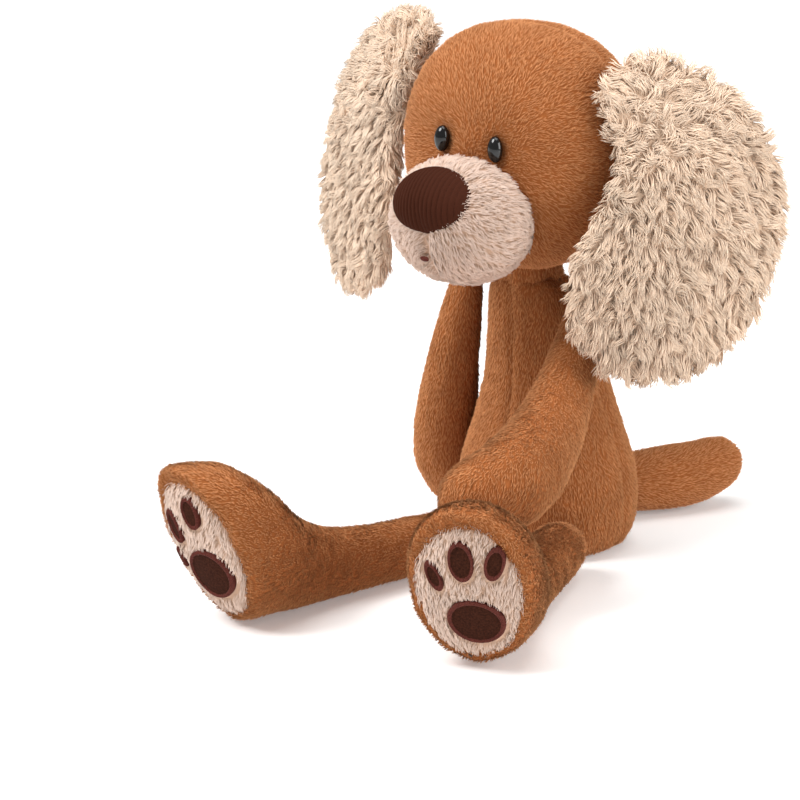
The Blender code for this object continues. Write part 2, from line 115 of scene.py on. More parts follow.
# trim
NOSE_GRID = 170             # points across each patch; the nose's are fine enough for its wales
MOUTH_GRID = 15
EYE_GRID = 37
SOLE_GRID = 40
PAD_GRID = 84
TOE_GRID = 46
EYE_SINK = 1.6 * MM         # the eyes' domes start this far under the middle of the frame's eyes
EYE_WIDTH, EYE_HEIGHT = 0.84, 1.04   # shares of the frame's eyes
DIMPLE_DEPTH = 2.2 * MM     # the eyes are pulled in
DIMPLE_REACH = 7 * MM
SHADE_REACH = 6.5 * MM      # and the pile close to them is darker, painted shade of the sunken sockets
GROOVE_DEPTH = 1.8 * MM     # seam of the muzzle under the nose
GROOVE_WIDTH = 2.0 * MM
PAD_RISE = 3.0 * MM         # the paw pads sit this far above the middle of their outlines in the frame
PAD_SHIFT = {"left": 1.0 * MM, "right": 3.5 * MM}   # and this far towards the dog's left
EYE_DROP = {"left": 3.8 * MM, "right": 1.4 * MM}    # each eye sits this far below its own
NOSE_RISE = 3.4 * MM        # the nose sits this far above its own
NOSE_SHIFT = 1.5 * MM       # and this far towards the dog's right
SOLE_SHARE = 0.94           # size of the sole's panel against the foot's open end


# ---------------------------------------------------------------- colour and materials

def linear(hex_colour):
    """Linear red, green and blue of an sRGB hex colour."""
    channels = [int(hex_colour[i:i + 2], 16) / 255 for i in (1, 3, 5)]
    return tuple(c / 12.92 if c <= 0.04045 else ((c + 0.055) / 1.055) ** 2.4 for c in channels)


def add(tree, kind, values=None, links=None, **settings):
    """Adds a node, with its settings, the values of its inputs and the sockets that feed them."""
    node = tree.nodes.new(kind)
    for key, value in settings.items():
        setattr(node, key, value)
    for key, value in (values or {}).items():
        node.inputs[key].default_value = value
    for key, socket in (links or {}).items():
        tree.links.new(socket, node.inputs[key])
    return node


def start_material(name, **values):
    """A new material, its node tree and its Principled shader, with values set on the shader's sockets."""
    made = bpy.data.materials.new(name)
    made.use_nodes = True
    tree = made.node_tree
    shader = tree.nodes["Principled BSDF"]
    for key, value in values.items():
        shader.inputs[key.replace("_", " ").title().replace("Ior", "IOR")].default_value = value
    return made, tree, shader


def pile_material(name, root, tip, fleck, contrast, sheen):
    """Knitted polyester pile, sheared and brushed: matt, with painted shade between its fibres, pale at a
    grazing angle.

    root and tip are the colours low and high in the pile; the darker root is painted shade of the pile's
    depth. The darker flecks, fleck wide, are painted shade where the brushed clumps part."""
    made, tree, shader = start_material(name, roughness=0.92, sheen_weight=sheen, sheen_roughness=0.45,
                                        specular_ior_level=0.25)
    shader.inputs["Sheen Tint"].default_value = (*tip, 1)
    where = add(tree, "ShaderNodeTexCoord").outputs["Object"]
    along = add(tree, "ShaderNodeAttribute", attribute_name="along").outputs["Fac"]
    tone = add(tree, "ShaderNodeAttribute", attribute_name="tone").outputs["Fac"]
    clumps = add(tree, "ShaderNodeTexNoise", {"Scale": 1 / fleck, "Detail": 4.0, "Roughness": 0.6},
                 {"Vector": where})
    broad = add(tree, "ShaderNodeTexNoise", {"Scale": 0.12 / fleck, "Detail": 2.0}, {"Vector": where})
    # darker towards the root: painted shade of the pile's depth
    depth = add(tree, "ShaderNodeMix", {6: (*root, 1), 7: (*tip, 1)}, {0: along}, data_type="RGBA")
    # the clumps' noise darkens the colour in flecks: painted shade where the clumps part
    level = add(tree, "ShaderNodeMath", {1: contrast, 2: 1.0 - contrast / 2}, {0: clumps.outputs["Fac"]},
                operation="MULTIPLY_ADD")
    level = add(tree, "ShaderNodeMath", {1: contrast}, {0: tone, 2: level.outputs[0]},
                operation="MULTIPLY_ADD")
    broad_contrast = 0.3
    level = add(tree, "ShaderNodeMath", {1: broad_contrast}, {0: broad.outputs["Fac"], 2: level.outputs[0]},
                operation="MULTIPLY_ADD")
    level = add(tree, "ShaderNodeMath", {1: broad_contrast / 2}, {0: level.outputs[0]}, operation="SUBTRACT")
    colour = add(tree, "ShaderNodeVectorMath", links={0: depth.outputs[2], 1: level.outputs[0]},
                 operation="MULTIPLY")
    bump = add(tree, "ShaderNodeBump", {"Strength": 0.35, "Distance": 0.4 * MM},
               {"Height": clumps.outputs["Fac"]})
    tree.links.new(colour.outputs[0], shader.inputs["Base Color"])
    tree.links.new(bump.outputs[0], shader.inputs["Normal"])
    return made


def woven_material(name, low, high, grain, roughness, bump_depth, coat=0.0, ridged=False):
    """Cloth, thread or moulded plastic whose colour runs between two tones over grains of a real width.

    On ridged cloth the tones follow the height of its ridges instead: painted shade in the grooves and
    painted light on the tops."""
    made, tree, shader = start_material(name, roughness=roughness, coat_weight=coat, coat_roughness=0.05,
                                        specular_ior_level=0.5 if coat else 0.06)
    where = add(tree, "ShaderNodeTexCoord").outputs["Object"]
    grains = add(tree, "ShaderNodeTexNoise", {"Scale": 1 / grain, "Detail": 3.0}, {"Vector": where})
    height = grains.outputs["Fac"]
    if ridged:
        # the ridges' height paints light on the wales' tops and shade in the grooves
        ridge = add(tree, "ShaderNodeAttribute", attribute_name="ridge").outputs["Fac"]
        height = add(tree, "ShaderNodeMath", {2: -0.25}, {0: ridge, 1: grains.outputs["Fac"]},
                     operation="ADD").outputs[0]
    ramp = add(tree, "ShaderNodeValToRGB", links={"Fac": height})
    ramp.color_ramp.elements[0].color = (*low, 1)
    ramp.color_ramp.elements[0].position = 0.3
    ramp.color_ramp.elements[1].color = (*high, 1)
    ramp.color_ramp.elements[1].position = 0.7
    bump = add(tree, "ShaderNodeBump", {"Strength": 0.5, "Distance": bump_depth},
               {"Height": grains.outputs["Fac"]})
    tree.links.new(ramp.outputs[0], shader.inputs["Base Color"])
    tree.links.new(bump.outputs[0], shader.inputs["Normal"])
    return made


# maker, low colour, high colour (or the setting that holds it) and then what else the maker asks for
MATERIALS = {
    # velboa: short sheared pile, orange-brown at its tips, with a chestnut root colour that is painted shade
    # of the pile's depth
    "brown velboa pile": (pile_material, "#96562A", "brown", 2.2 * MM, 0.22, 0.15),
    # longer brushed pile on the muzzle and the soles, cream, with a darker pink-beige root colour that is
    # painted shade of the pile's depth
    "cream brushed pile": (pile_material, "#C9A68E", "cream", 2.4 * MM, 0.16, 0.1),
    # sherpa fleece: locks of curled yarn, almost white at their tips, with a tan root colour that is painted
    # shade deep between the locks
    "curled sherpa fleece": (pile_material, "#DBBFA6", "fleece", 5.0 * MM, 0.16, 0.1),
    # corduroy: cut cotton wales, dark, with a lighter colour on their tops that is painted light, and painted
    # shade in the grooves
    "dark corduroy": (woven_material, "#0E0402", "#3E1F14", 0.7 * MM, 0.9, 0.2 * MM, 0.0, True),
    # short nap of the pads, almost black-brown
    "dark velour": (woven_material, "#2A140D", "#402217", 0.8 * MM, 0.95, 0.2 * MM),
    # viscose satin stitch: silky, redder than the velour
    "satin stitch thread": (woven_material, "#44201B", "#64332B", 0.6 * MM, 0.6, 0.1 * MM),
    # injection-moulded and polished ABS
    "polished black ABS": (woven_material, "#050505", "#0C0B0B", 3 * MM, 0.1, 0.0, 0.1),
    # carded polyester fibre, white and matt
    "polyester fibre": (woven_material, "#D9D9D6", "#F2F2F0", 1.5 * MM, 1.0, 1 * MM),
    # unbleached cotton bag of pellets
    "pellet bag cotton": (woven_material, "#B9B4A6", "#D2CDBF", 1.0 * MM, 0.9, 0.5 * MM),
    # moulded natural polypropylene
    "natural polypropylene": (woven_material, "#D8D6CC", "#E6E4DC", 4 * MM, 0.5, 0.05 * MM),
    # floor of white matt board
    "white matt board": (woven_material, "#F7F7F6", "#FBFBFA", 0.05, 0.9, 0.0),
}


def finish_of(name):
    """The material of that name, made when it is first asked for."""
    if name in bpy.data.materials:
        return bpy.data.materials[name]
    make, low, high, *rest = MATERIALS[name]
    high = linear(high) if high.startswith("#") else getattr(bpy.context.scene.plush_cloth, high)
    return make(name, linear(low), high, *rest)


# ---------------------------------------------------------------- meshes

def put_in_scene(name, mesh, finish):
    """A piece made of a mesh and a material."""
    mesh.materials.append(finish_of(finish))
    piece = bpy.data.objects.new(name, mesh)
    bpy.context.scene.collection.objects.link(piece)
    return piece


def shade_smooth(mesh):
    """Lets the light run smoothly over all faces."""
    mesh.polygons.foreach_set("use_smooth", [True] * len(mesh.polygons))


def new_piece(name, points, faces, finish):
    """A closed mesh piece with its normals facing out."""
    mesh = bpy.data.meshes.new(name)
    mesh.from_pydata([tuple(p) for p in points], [], faces)
    shape = bmesh.new()
    shape.from_mesh(mesh)
    bmesh.ops.recalc_face_normals(shape, faces=shape.faces)
    shape.to_mesh(mesh)
    shape.free()
    shade_smooth(mesh)
    return put_in_scene(name, mesh, finish)


def coordinates(piece):
    """The piece's points as an array."""
    flat = np.empty(len(piece.data.vertices) * 3)
    piece.data.vertices.foreach_get("co", flat)
    return flat.reshape(-1, 3)


def move_points(piece, points):
    """Writes an array of points back to the piece."""
    piece.data.vertices.foreach_set("co", points.ravel())
    piece.data.update()


def normals_of(piece):
    """The piece's vertex normals as an array."""
    flat = np.empty(len(piece.data.vertices) * 3)
    piece.data.vertex_normals.foreach_get("vector", flat)
    return flat.reshape(-1, 3)


def keep_modifiers(piece):
    """Puts what the piece's modifiers make into its mesh, and removes them."""
    graph = bpy.context.evaluated_depsgraph_get()
    made = bpy.data.meshes.new_from_object(piece.evaluated_get(graph))
    piece.modifiers.clear()
    piece.data = made


def tree_of(*pieces):
    """A search tree over the faces of some pieces or CAD nodes."""
    points, faces = [], []
    for piece in pieces:
        start = len(points)
        points += [v.co.copy() for v in piece.data.vertices]
        faces += [tuple(i + start for i in face.vertices) for face in piece.data.polygons]
    return BVHTree.FromPolygons(points, faces)


def distances(tree, points):
    """How far each point is from a tree's faces."""
    return np.array([tree.find_nearest(Vector(p))[3] for p in points])


def outer_skin(name, node_names, finish):
    """The closed outer skin of a hollow cover: inner walls go, cut edges are sewn, openings are closed."""
    shape = bmesh.new()
    for node in node_names:
        shape.from_mesh(frame["nodes"][node].data)
    bmesh.ops.remove_doubles(shape, verts=shape.verts, dist=SAME_POINT)
    shape.normal_update()
    walls = BVHTree.FromBMesh(shape)
    inner = []
    for face in shape.faces:
        start = face.calc_center_median() + face.normal * RAY_START
        if walls.ray_cast(start, face.normal, WALL_REACH)[0] is not None:
            inner.append(face)
    bmesh.ops.delete(shape, geom=inner, context="FACES")
    bmesh.ops.remove_doubles(shape, verts=shape.verts, dist=WELD)
    bmesh.ops.holes_fill(shape, edges=[e for e in shape.edges if e.is_boundary], sides=0)
    bmesh.ops.recalc_face_normals(shape, faces=shape.faces)
    mesh = bpy.data.meshes.new(name)
    shape.to_mesh(mesh)
    shape.free()
    return put_in_scene(name, mesh, finish)


def even_cells(piece, voxel, smoothing):
    """Turns the piece into even cells of fabric and eases the steps between them."""
    remesh = piece.modifiers.new("cells", "REMESH")
    remesh.mode = "VOXEL"
    remesh.voxel_size = voxel
    ease = piece.modifiers.new("ease", "SMOOTH")
    ease.iterations = smoothing
    ease.factor = 0.5
    keep_modifiers(piece)


def swell(piece):
    """Lets the pressure of the stuffing shape the cloth, and keeps how it comes to rest."""
    before = coordinates(piece)
    cloth = piece.modifiers.new("stuffing pressure", "CLOTH")
    cloth.settings.quality = 4
    cloth.settings.mass = 0.15
    cloth.settings.use_pressure = True
    cloth.settings.uniform_pressure_force = PRESSURE
    cloth.settings.tension_stiffness = 12
    cloth.settings.compression_stiffness = 12
    cloth.settings.bending_stiffness = 0.4
    cloth.settings.shrink_min = -0.02
    cloth.settings.effector_weights.gravity = 0
    scene = bpy.context.scene
    for step in range(1, SWELL_FRAMES + 1):
        scene.frame_set(step)
    keep_modifiers(piece)
    scene.frame_set(1)
    travel = coordinates(piece) - before
    length = np.linalg.norm(travel, axis=1, keepdims=True)
    move_points(piece, before + travel * np.minimum(1, MOST_TRAVEL / np.maximum(length, 1e-9)))


def subdivide(piece):
    """Rounds the piece with one level of subdivision."""
    rounder = piece.modifiers.new("round", "SUBSURF")
    rounder.levels = 1
    rounder.render_levels = 1
    keep_modifiers(piece)
    shade_smooth(piece.data)


def push(piece, amount):
    """Moves every point along its normal by an amount, one number or one for each point."""
    move_points(piece, coordinates(piece) + normals_of(piece) * np.reshape(amount, (-1, 1)))


def stuffed(name, node_names, finish, body, voxel=SKIN_VOXEL, inset=SKIN_INSET):
    """A stuffed fabric piece that stands for a cover in the frame, swelled by its own filling."""
    piece = outer_skin(name, node_names, finish)
    even_cells(piece, voxel, SKIN_EASE)
    push(piece, -inset)
    swell(piece)
    subdivide(piece)
    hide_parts(*node_names)
    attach(piece, body)
    return piece


# ---------------------------------------------------------------- pile

def scatter(piece, spacing, rng):
    """Roots spread evenly over the piece, with their normals."""
    mesh = piece.data
    mesh.calc_loop_triangles()
    corner = np.empty(len(mesh.loop_triangles) * 3, int)
    mesh.loop_triangles.foreach_get("vertices", corner)
    points, normals = coordinates(piece), normals_of(piece)
    a, b, c = (corner.reshape(-1, 3)[:, k] for k in range(3))
    area = np.linalg.norm(np.cross(points[b] - points[a], points[c] - points[a]), axis=1) / 2
    share = np.cumsum(area)
    count = int(share[-1] / spacing ** 2)
    pick = np.searchsorted(share, (np.arange(count) + rng.random(count)) / count * share[-1])
    pick = np.minimum(pick, len(area) - 1)
    u, v = rng.random((2, count, 1))
    flip = u + v > 1
    u, v = np.where(flip, 1 - u, u), np.where(flip, 1 - v, v)
    root = points[a[pick]] * (1 - u - v) + points[b[pick]] * u + points[c[pick]] * v
    normal = normals[a[pick]] * (1 - u - v) + normals[b[pick]] * u + normals[c[pick]] * v
    return root, unit(normal)


def unit(vectors):
    """Vectors of length 1."""
    return vectors / np.maximum(np.linalg.norm(vectors, axis=1, keepdims=True), 1e-12)


def waves(points, scale, rng):
    """A smooth wandering value from -1 to 1 for each point, of a given wave length."""
    total = np.zeros(len(points))
    for _ in range(4):
        way = unit(rng.normal(size=(1, 3)))[0] * 2 * pi / scale * rng.uniform(0.7, 1.5)
        total += np.sin(points @ way + rng.uniform(0, 2 * pi))
    return total / 4


def grow_pile(name, piece, finish, seed, length, width, spacing, lean, nap, steps=1, lock=0.0, gather=0.0,
              curl=0.0, keep_out=None, keep_out_gap=0.6 * MM, wander=0.35, shade=None, spread=0.3,
              softness=SOFTNESS):
    """Grows fibres on a piece, as closed tapered slivers that lie along the nap.

    lean is the angle from upright in degrees. nap(points) gives the direction that the fibres lie in.
    Fibres within one lock share its direction: their tips gather to its middle, and it curls sideways.
    softness is how much a fibre takes the light as the skin under it does, which makes the pile look soft.
    keep_out is a tree of pieces that the pile doesn't grow through, and shade(points) darkens it with painted
    shade, 0 to 1."""
    rng = np.random.default_rng(seed)
    root, normal = scatter(piece, spacing, rng)
    if keep_out is not None:
        free = distances(keep_out, root) > keep_out_gap
        root, normal = root[free], normal[free]
    count = len(root)
    guide, which = root, np.arange(count)
    if lock:
        guide, _ = scatter(piece, lock, rng)
        search = KDTree(len(guide))
        for i, p in enumerate(guide):
            search.insert(p, i)
        search.balance()
        which = np.array([search.find(p)[1] for p in root])
    way = nap(guide) + np.stack([waves(guide, WAY_WAVE, rng) for _ in range(3)], 1) * wander
    way = (way + rng.normal(size=(len(guide), 3)) * spread * 0.5)[which]
    way += rng.normal(size=(count, 3)) * 0.12
    way = unit(way - normal * np.sum(way * normal, 1, keepdims=True))
    angle = np.radians(lean) + waves(guide, LEAN_WAVE, rng) * 0.18
    angle = angle + rng.normal(size=len(guide)) * spread * 0.35
    angle = np.clip(angle, *LEAN_LIMITS)[which][:, None]
    reach = length * (1 + waves(guide, LENGTH_WAVE, rng) * 0.15) * rng.uniform(0.8, 1.15, len(guide))
    reach = reach[which][:, None] * rng.uniform(0.8, 1.05, (count, 1))
    pull = guide[which] - root
    pull -= normal * np.sum(pull * normal, 1, keepdims=True)
    turn = rng.uniform(0, 2 * pi, len(guide))[which][:, None]
    side = unit(np.cross(normal, way))
    up = unit(np.cross(way, side))
    rings, facing = [], []
    for k in range(steps + 1):
        t = k / steps
        bend = angle + (t - 0.5) * BEND
        centre = root + reach * t * (normal * np.cos(bend) + way * np.sin(bend)) + pull * gather * t ** 0.8
        centre = centre + side * curl * (np.sin(turn + 4.0 * t) - np.sin(turn))
        thick = width / 2 * (1 - t) ** TAPER
        turns = (0,) if k == steps else (0, 2 * pi / 3, 4 * pi / 3)
        for q in turns:
            out = side * cos(q) + up * sin(q)
            rings.append(centre + thick * out)
            facing.append(normal * softness + (way if k == steps else out) * (1 - softness))
    points = np.stack(rings, 1)
    points[:, :, 2] = np.maximum(points[:, :, 2], FLOOR_CLEAR)
    return write_slivers(name, points, np.stack(facing, 1), steps, root, rng, shade, finish)


def write_slivers(name, points, facing, steps, root, rng, shade, finish):
    """The piece of all slivers, with a map of its own.

    Its attributes along and tone say how far up its sliver a point is and how dark the sliver is, by chance
    and by painted shade."""
    count, each = points.shape[:2]
    side_faces = [(3 * k + i, 3 * k + (i + 1) % 3, 3 * k + 3 + (i + 1) % 3, 3 * k + 3 + i)
                  for k in range(steps - 1) for i in range(3)]
    last = 3 * (steps - 1)
    tips = [(last + i, last + (i + 1) % 3, 3 * steps) for i in range(3)]
    faces = side_faces + tips + [(2, 1, 0)]
    loops_each = sum(len(f) for f in faces)
    pattern = np.array([i for f in faces for i in f])
    starts = np.cumsum([0] + [len(f) for f in faces[:-1]])
    mesh = bpy.data.meshes.new(name)
    mesh.vertices.add(count * each)
    mesh.vertices.foreach_set("co", points.reshape(-1))
    mesh.loops.add(count * loops_each)
    mesh.loops.foreach_set("vertex_index", (np.arange(count)[:, None] * each + pattern).ravel())
    mesh.polygons.add(count * len(faces))
    mesh.polygons.foreach_set("loop_start", (np.arange(count)[:, None] * loops_each + starts).ravel())
    mesh.update(calc_edges=True)
    along = np.tile(np.append(np.repeat(np.arange(steps) / steps, 3), 1.0), count)
    tone = rng.uniform(-0.5, 0.5, count)
    # shade darkens the tone further: painted shade, as in the sockets round the eyes
    if shade is not None:
        tone = tone - 4 * shade(root)
    for key, values in (("along", along), ("tone", np.repeat(tone, each))):
        mesh.attributes.new(key, "FLOAT", "POINT").data.foreach_set("value", values.astype(np.float32))
    columns = int(np.ceil(np.sqrt(count)))
    cell = np.stack([np.arange(count) % columns, np.arange(count) // columns], 1)
    corner = {i: ((i % 3) * 0.3 + 0.2, i // 3 / steps * 0.7 + 0.15) for i in range(each)}
    inside = np.array([corner[i] for i in pattern])
    flat_map = (cell[:, None, :] + inside[None]) / columns
    mesh.uv_layers.new(name="OFBake").data.foreach_set("uv", flat_map.astype(np.float32).ravel())
    shade_smooth(mesh)
    mesh.normals_split_custom_set_from_vertices(unit(facing.reshape(-1, 3)))
    return put_in_scene(name, mesh, finish)


def along_line(direction):
    """A nap that lies one way."""
    way = np.array(direction, float)
    return lambda points: np.tile(way / np.linalg.norm(way), (len(points), 1))


def away_from(point):
    """A nap that is brushed away from one point."""
    middle = np.array(point, float)
    return lambda points: unit(points - middle)


def velboa(piece, body, seed, nap, keep_out=None, shade=None):
    """Grows the short brown pile on a stuffed piece."""
    cloth = bpy.context.scene.plush_cloth
    grown = grow_pile(piece.name + "_pile", piece, "brown velboa pile", seed, cloth.pile_length,
                      cloth.pile_width, cloth.pile_spacing, VELBOA_LEAN, nap, keep_out=keep_out, shade=shade)
    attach(grown, body)


def sew(piece, one, other):
    """Pulls the skin in along the seam, which is where it is as far from some CAD panels as from others."""
    points = coordinates(piece)
    offset = distances(tree_of(*one), points) - distances(tree_of(*other), points)
    push(piece, -SEAM_DEPTH * np.exp(-(offset / SEAM_WIDTH) ** 2))


def joint_place(body):
    """Where the joint that carries a body is in the frame."""
    return next(joint for joint in frame["joints"] if joint["child"] == body)["pos_m"]


# ---------------------------------------------------------------- patches

def lie_of(node, outward):
    """Middle, half size and direction across, up and out of a CAD node that lies on a surface."""
    points = np.unique(np.array([v.co for v in frame["nodes"][node].data.vertices]).round(6), axis=0)
    middle = points.mean(0)
    spread = np.linalg.eigh(np.cov((points - middle).T))[1].T
    out = Vector(spread[0])
    if out.dot(Vector(outward)) < 0:
        out.negate()
    up, across = (Vector(v) for v in sorted(spread[1:], key=lambda v: -abs(v[2])))
    if up.z < 0:
        up.negate()
    across = up.cross(out)
    reach = [np.abs((points - middle) @ np.array(v)).max() for v in (across, up)]
    return Vector(middle), across * float(reach[0]), up * float(reach[1]), out


def disc(count):
    """A square grid of points laid onto the unit disc: x, y and whether each is on the rim."""
    line = np.linspace(-1, 1, count)
    u, v = np.meshgrid(line, line)
    rim = (np.abs(u) == 1) | (np.abs(v) == 1)
    return u * np.sqrt(1 - v * v / 2), v * np.sqrt(1 - u * u / 2), rim


def patch(name, place, count, front, back, finish):
    """A closed padded patch over a disc: place(x, y, height) sets a point, front and back give the height."""
    x, y, rim = disc(count)
    points, index = [], {}
    for layer, height in enumerate((front, back)):
        for i in range(count):
            for j in range(count):
                if layer and rim[i, j]:
                    index[layer, i, j] = index[0, i, j]
                    continue
                index[layer, i, j] = len(points)
                points.append(place(x[i, j], y[i, j], height(x[i, j], y[i, j])))
    faces = []
    for layer in (0, 1):
        for i in range(count - 1):
            for j in range(count - 1):
                quad = [index[layer, i, j], index[layer, i, j + 1], index[layer, i + 1, j + 1],
                        index[layer, i + 1, j]]
                if len(set(quad)) == 4:
                    faces.append(quad if layer == 0 else quad[::-1])
    return new_piece(name, points, faces, finish)


def on_plane(lie):
    """A place function for a patch that is flat."""
    middle, across, up, out = lie
    return lambda x, y, height: middle + across * x + up * y + out * height


def on_skin(lie, tree, lift=30 * MM):
    """A place function for a patch that follows the skin under it."""
    middle, across, up, out = lie

    def place(x, y, height):
        start = middle + across * x + up * y + out * lift
        hit = tree.ray_cast(start, -out)[0]
        return (hit if hit is not None else start - out * lift) + out * height
    return place


def dome(height, power=0.5):
    """A height over the unit disc that falls to nothing at the rim."""
    return lambda x, y: height * max(0.0, 1 - x * x - y * y) ** power


def level(height):
    """The same height everywhere."""
    return lambda x, y: height


# ---------------------------------------------------------------- settings

class PlushCloth(bpy.types.PropertyGroup):
    """Colours and pile of the fabrics"""
    brown: FloatVectorProperty(name="Brown", description="Tips of the body's pile", size=3,
                               subtype="COLOR", default=linear("#DE9B68"), min=0, max=1)
    cream: FloatVectorProperty(name="Cream", description="Tips of the muzzle's pile", size=3,
                               subtype="COLOR", default=linear("#E2CCBF"), min=0, max=1)
    fleece: FloatVectorProperty(name="Fleece", description="Tips of the ears' locks", size=3,
                                subtype="COLOR", default=linear("#F5DEC7"), min=0, max=1)
    pile_length: FloatProperty(name="Pile", description="Length of the body's pile",
                               default=2.5 * MM, min=1 * MM, max=8 * MM, unit="LENGTH")
    pile_width: FloatProperty(name="Pile width", description="Width of a tuft of the body's pile",
                              default=0.55 * MM, min=0.2 * MM, max=2 * MM, unit="LENGTH")
    pile_spacing: FloatProperty(name="Pile spacing", description="Distance between tufts",
                                default=0.9 * MM, min=0.5 * MM, max=4 * MM, unit="LENGTH")
    lock_length: FloatProperty(name="Lock", description="Length of the ears' locks",
                               default=7.0 * MM, min=3 * MM, max=20 * MM, unit="LENGTH")
    lock_spacing: FloatProperty(name="Lock spacing", description="Distance between the ears' locks",
                                default=4.2 * MM, min=1 * MM, max=8 * MM, unit="LENGTH")


class PlushTrim(bpy.types.PropertyGroup):
    """Nose, eyes and pads"""
    wale: FloatProperty(name="Wale", description="Width of one wale of the nose's corduroy",
                        default=1.9 * MM, min=0.5 * MM, max=5 * MM, unit="LENGTH")
    wale_depth: FloatProperty(name="Wale depth", description="Depth of the grooves between wales",
                              default=0.8 * MM, min=0, max=2 * MM, unit="LENGTH")
    nose_loft: FloatProperty(name="Nose loft", description="How far the nose stands proud",
                             default=7.5 * MM, min=1 * MM, max=20 * MM, unit="LENGTH")
    eye_loft: FloatProperty(name="Eye loft", description="Height of an eye's dome",
                            default=3.4 * MM, min=1 * MM, max=8 * MM, unit="LENGTH")
    sole_loft: FloatProperty(name="Sole loft", description="How far a sole bulges",
                             default=5.5 * MM, min=0, max=12 * MM, unit="LENGTH")
    stitch: FloatProperty(name="Stitch", description="Width of a satin stitch, coarser than real "
                          "thread so that it shows", default=0.9 * MM, min=0.3 * MM, max=3 * MM,
                          unit="LENGTH")


class PlushStage(bpy.types.PropertyGroup):
    """Camera, floor and light"""
    azimuth: FloatProperty(name="Azimuth", description="Camera's place round the dog, from its "
                           "front towards its left", default=radians(35), subtype="ANGLE")
    elevation: FloatProperty(name="Elevation", description="Camera's height as an angle",
                             default=radians(16.5), subtype="ANGLE")
    distance: FloatProperty(name="Distance", description="Camera to the middle of the body's base",
                            default=1.15, unit="LENGTH")
    heading: FloatProperty(name="Heading", description="Way that the camera is turned",
                           default=radians(38.38), subtype="ANGLE")
    tip: FloatProperty(name="Tip", description="How far the camera looks down",
                       default=radians(13.39), subtype="ANGLE")
    lens: FloatProperty(name="Lens", description="Focal length on a 36 mm sensor, in mm",
                        default=115.0, min=10, max=300)
    light: FloatProperty(name="Light", description="Strength of all lights", default=1.0, min=0)
    sky: FloatProperty(name="Sky", description="Strength of the white surround", default=0.38,
                       min=0)
    glow: FloatProperty(name="Glow", description="Light of the floor's own, which keeps it white "
                        "and its shadows pale", default=0.2, min=0)


# ---------------------------------------------------------------- operators

class PLUSH_OT_body(bpy.types.Operator):
    """Body, sewn from belly, back and seat panels, with its pile"""
    bl_idname = "plush.body"
    bl_label = "Body"

    def execute(self, context):
        backs = ["back_panel_left", "back_panel_right"]
        piece = stuffed("body", ["belly_panel", *backs, "seat_panel"], "brown velboa pile", "body")
        nodes = frame["nodes"]
        sew(piece, [nodes["belly_panel"]], [nodes[n] for n in backs])
        sew(piece, [nodes[backs[0]]], [nodes[backs[1]]])
        flat = coordinates(piece)
        flat[:, 2] = np.maximum(flat[:, 2], 2 * FLOOR_CLEAR)
        move_points(piece, flat)
        velboa(piece, "body", 11, along_line((0, 0, -1)))
        return {"FINISHED"}


class PLUSH_OT_neck(bpy.types.Operator):
    """Gathered neck between the body and the head"""
    bl_idname = "plush.neck"
    bl_label = "Neck"

    def execute(self, context):
        low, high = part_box("neck_wadding")
        middle = (low + high) / 2
        rings, count, folds = 9, 36, 9
        # in mm: how far its foot is behind the wadding's middle, how much of that its top loses, how far it
        # goes down into the body, its radius at the foot and how much of that its top loses
        behind, slant, sink, wide, taper = 7, 6, 6, 15.5, 2.5
        points, faces = [], []
        for k in range(rings):
            t = k / (rings - 1)
            centre = Vector((middle.x, middle.y + (behind - slant * t) * MM,
                             low.z - sink * MM + (high.z - low.z + sink * MM) * t))
            for i in range(count):
                turn = 2 * pi * i / count
                radius = (wide - taper * t ** 0.6) * MM * (1 + 0.03 * cos(folds * turn))
                points.append(centre + Vector((cos(turn), sin(turn), 0)) * radius)
        for k in range(rings - 1):
            faces += [(k * count + i, k * count + (i + 1) % count, (k + 1) * count + (i + 1) % count,
                       (k + 1) * count + i) for i in range(count)]
        faces += [tuple(range(count))[::-1], tuple(range((rings - 1) * count, rings * count))]
        piece = new_piece("neck", points, faces, "brown velboa pile")
        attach(piece, "neck")
        velboa(piece, "neck", 12, along_line((0, 0, -1)))
        return {"FINISHED"}


class PLUSH_OT_head(bpy.types.Operator):
    """Head with its cheeks, the dimples round its eyes, and its pile"""
    bl_idname = "plush.head"
    bl_label = "Head"

    def execute(self, context):
        nodes = frame["nodes"]
        piece = stuffed("head", ["face_panel", "head_back_panel"], "brown velboa pile", "head")
        sew(piece, [nodes["face_panel"]], [nodes["head_back_panel"]])
        eyes = np.array([(a + b) / 2 for a, b in (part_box("eye_left"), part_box("eye_right"))])
        eyes[:, 2] -= (EYE_DROP["left"], EYE_DROP["right"])

        def from_the_eyes(points):
            return np.min([np.linalg.norm(points - e, axis=1) for e in eyes], 0)

        # painted shade of the sunken sockets, darkest next to the eyes
        def painted_socket_shade(roots):
            return 0.5 * np.exp(-(from_the_eyes(roots) / SHADE_REACH) ** 4)
        push(piece, -DIMPLE_DEPTH * np.exp(-(from_the_eyes(coordinates(piece)) / DIMPLE_REACH) ** 2))
        blocked = tree_of(nodes["muzzle_cover"], nodes["eye_left"], nodes["eye_right"])
        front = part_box("nose")[0]
        velboa(piece, "head", 13, away_from((0, front.y + 25 * MM, eyes[0][2] - 4 * MM)), keep_out=blocked,
               shade=painted_socket_shade)
        return {"FINISHED"}


